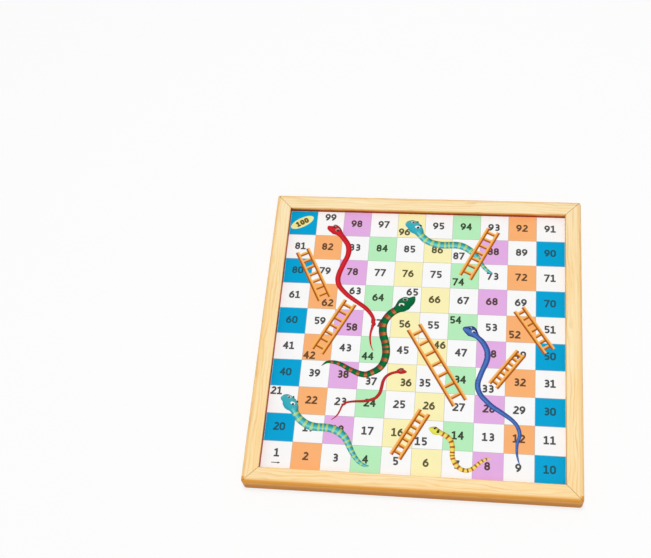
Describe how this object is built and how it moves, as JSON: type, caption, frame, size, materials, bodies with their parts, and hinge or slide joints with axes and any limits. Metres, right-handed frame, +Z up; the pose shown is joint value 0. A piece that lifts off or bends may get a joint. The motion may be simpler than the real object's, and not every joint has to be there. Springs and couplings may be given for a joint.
{
  "type": "snakes and ladders board",
  "caption": "Square two-sided games board in a mitred pine frame, with a printed snakes and ladders grid facing up and a ludo track facing down.",
  "frame": {"origin": "middle of the underside of the frame, in the plane on which the four rails rest", "axes": "+X towards the side of square 10, +Y away from the player towards the square 100 row, +Z up out of the snakes and ladders face"},
  "size_m": [0.3, 0.3, 0.019],
  "materials": {
    "pine": "clear satin lacquer on planed pine, fine straight grain",
    "beech": "turned and fluted dowel, no finish",
    "fibreboard": "sanded fibreboard, hidden between the sheets",
    "paper_white": "white coated paper under a clear film",
    "ink_blue": "blue ink under a clear film",
    "ink_orange": "pale orange ink under a clear film",
    "ink_green": "pale green ink under a clear film",
    "ink_yellow": "pale yellow ink under a clear film",
    "ink_purple": "pale purple ink under a clear film",
    "ink_grey": "grey ink under a clear film",
    "ink_dark": "dark grey ink under a clear film",
    "ink_lemon": "lemon yellow ink under a clear film",
    "ink_red": "red ink, darker towards both edges of the figure",
    "ink_teal": "teal ink, darker towards both edges of the figure",
    "ink_lime": "yellow-green ink bands over the teal",
    "ink_fir": "dark green ink",
    "ink_brick": "brick red ink bands over the green",
    "ink_royal": "royal blue ink with a lighter middle",
    "ink_sun": "yellow ink",
    "ink_maroon": "maroon ink bands over the yellow",
    "ink_amber": "amber ink of the ladders",
    "ink_umber": "brown ink of the shaded side of the ladders",
    "ludo_blue": "blue ink under a clear film",
    "ludo_red": "red ink under a clear film",
    "ludo_green": "green ink under a clear film",
    "ludo_yellow": "yellow ink under a clear film"
  },
  "bodies": {
    "root": {"rail_front": "pine", "rail_right": "pine", "rail_back": "pine", "rail_left": "pine", "corner_dowels": "beech", "core_board": "fibreboard", "sheet_snakes": "paper_white", "sheet_ludo": "paper_white", "squares_blue": "ink_blue", "squares_orange": "ink_orange", "squares_green": "ink_green", "squares_yellow": "ink_yellow", "squares_purple": "ink_purple", "grid_lines": "ink_grey", "numerals": "ink_dark", "finish_oval": "ink_lemon", "start_arrow": "ink_dark", "snake_long_red": "ink_red", "snake_upper_teal": "ink_teal", "snake_green": "ink_fir", "snake_blue": "ink_royal", "snake_small_red": "ink_red", "snake_lower_teal": "ink_teal", "snake_yellow": "ink_sun", "bands_teal": "ink_lime", "bands_green": "ink_brick", "bands_yellow": "ink_maroon", "eye_whites": "paper_white", "eye_pupils": "ink_dark", "ladders": "ink_amber", "ladder_shading": "ink_umber", "ludo_blue": "ludo_blue", "ludo_red": "ludo_red", "ludo_green": "ludo_green", "ludo_yellow": "ludo_yellow", "ludo_grey_cells": "ink_grey", "ludo_discs": "paper_white", "ludo_stars": "paper_white", "ludo_lines": "ink_dark", "ludo_arrows": "ink_dark"}
  },
  "joints": []
}
